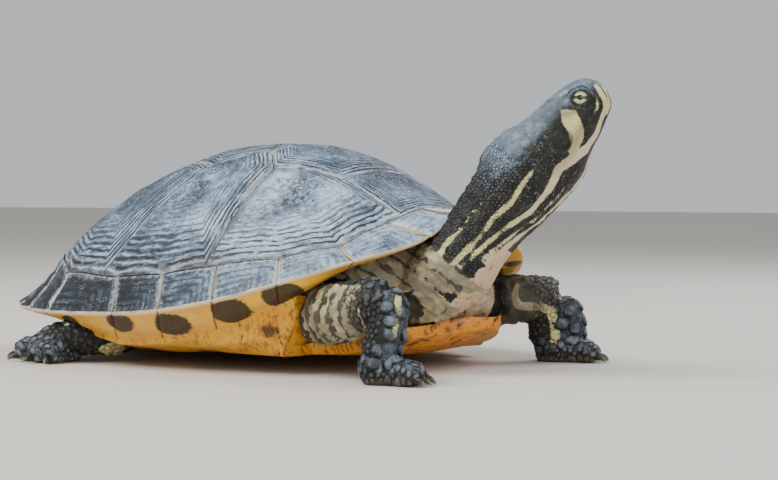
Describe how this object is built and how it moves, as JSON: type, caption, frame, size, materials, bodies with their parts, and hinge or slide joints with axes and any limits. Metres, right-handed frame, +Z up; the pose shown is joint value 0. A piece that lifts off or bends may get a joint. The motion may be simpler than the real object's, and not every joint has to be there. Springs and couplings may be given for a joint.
{
  "type": "yellow-bellied slider turtle model",
  "caption": "Life-size still model of a slider turtle standing on its feet, shell nose up, neck stretched up and to its left.",
  "frame": {"origin": "middle of the bounding box's underside, on the floor that the soles stand on", "axes": "+X towards the front of the shell, +Y to the animal's left, +Z up"},
  "size_m": [0.2998, 0.2058, 0.1112],
  "materials": {
    "carapace_horn": "dry dark slate horn with pale growth rings and seams",
    "plastron_horn": "satin orange-yellow horn with dark blotches",
    "skin": "matt scaly dark skin with pale yellow stripes",
    "claw_horn": "satin dark horn",
    "eye": "wet glossy eye"
  },
  "bodies": {
    "root": {"carapace_marginals_right": "carapace_horn", "carapace_marginals_left": "carapace_horn", "carapace_nuchal": "carapace_horn", "carapace_vertebral_1": "carapace_horn", "carapace_vertebral_2": "carapace_horn", "carapace_vertebral_3": "carapace_horn", "carapace_vertebral_4": "carapace_horn", "carapace_vertebral_5": "carapace_horn", "carapace_pleural_right_1": "carapace_horn", "carapace_pleural_right_2": "carapace_horn", "carapace_pleural_right_3": "carapace_horn", "carapace_pleural_right_4": "carapace_horn", "carapace_pleural_left_1": "carapace_horn", "carapace_pleural_left_2": "carapace_horn", "carapace_pleural_left_3": "carapace_horn", "carapace_pleural_left_4": "carapace_horn", "plastron_front_lobe": "plastron_horn", "plastron_rear_lobe": "plastron_horn", "plastron_middle_and_bridges": "plastron_horn", "trunk": "skin", "neck": "skin", "head": "skin", "eye_right": "eye", "eye_left": "eye", "tail": "skin", "fore_right_upper_leg": "skin", "fore_right_foot": "skin", "fore_right_lower_leg": "skin", "fore_right_claw_1": "claw_horn", "fore_right_claw_2": "claw_horn", "fore_right_claw_3": "claw_horn", "fore_right_claw_4": "claw_horn", "fore_right_claw_5": "claw_horn", "fore_left_upper_leg": "skin", "fore_left_foot": "skin", "fore_left_lower_leg": "skin", "fore_left_claw_1": "claw_horn", "fore_left_claw_2": "claw_horn", "fore_left_claw_3": "claw_horn", "fore_left_claw_4": "claw_horn", "fore_left_claw_5": "claw_horn", "hind_right_upper_leg": "skin", "hind_right_foot": "skin", "hind_right_lower_leg": "skin", "hind_right_claw_1": "claw_horn", "hind_right_claw_2": "claw_horn", "hind_right_claw_3": "claw_horn", "hind_right_claw_4": "claw_horn", "hind_left_upper_leg": "skin", "hind_left_foot": "skin", "hind_left_lower_leg": "skin", "hind_left_claw_1": "claw_horn", "hind_left_claw_2": "claw_horn", "hind_left_claw_3": "claw_horn", "hind_left_claw_4": "claw_horn"}
  },
  "joints": []
}
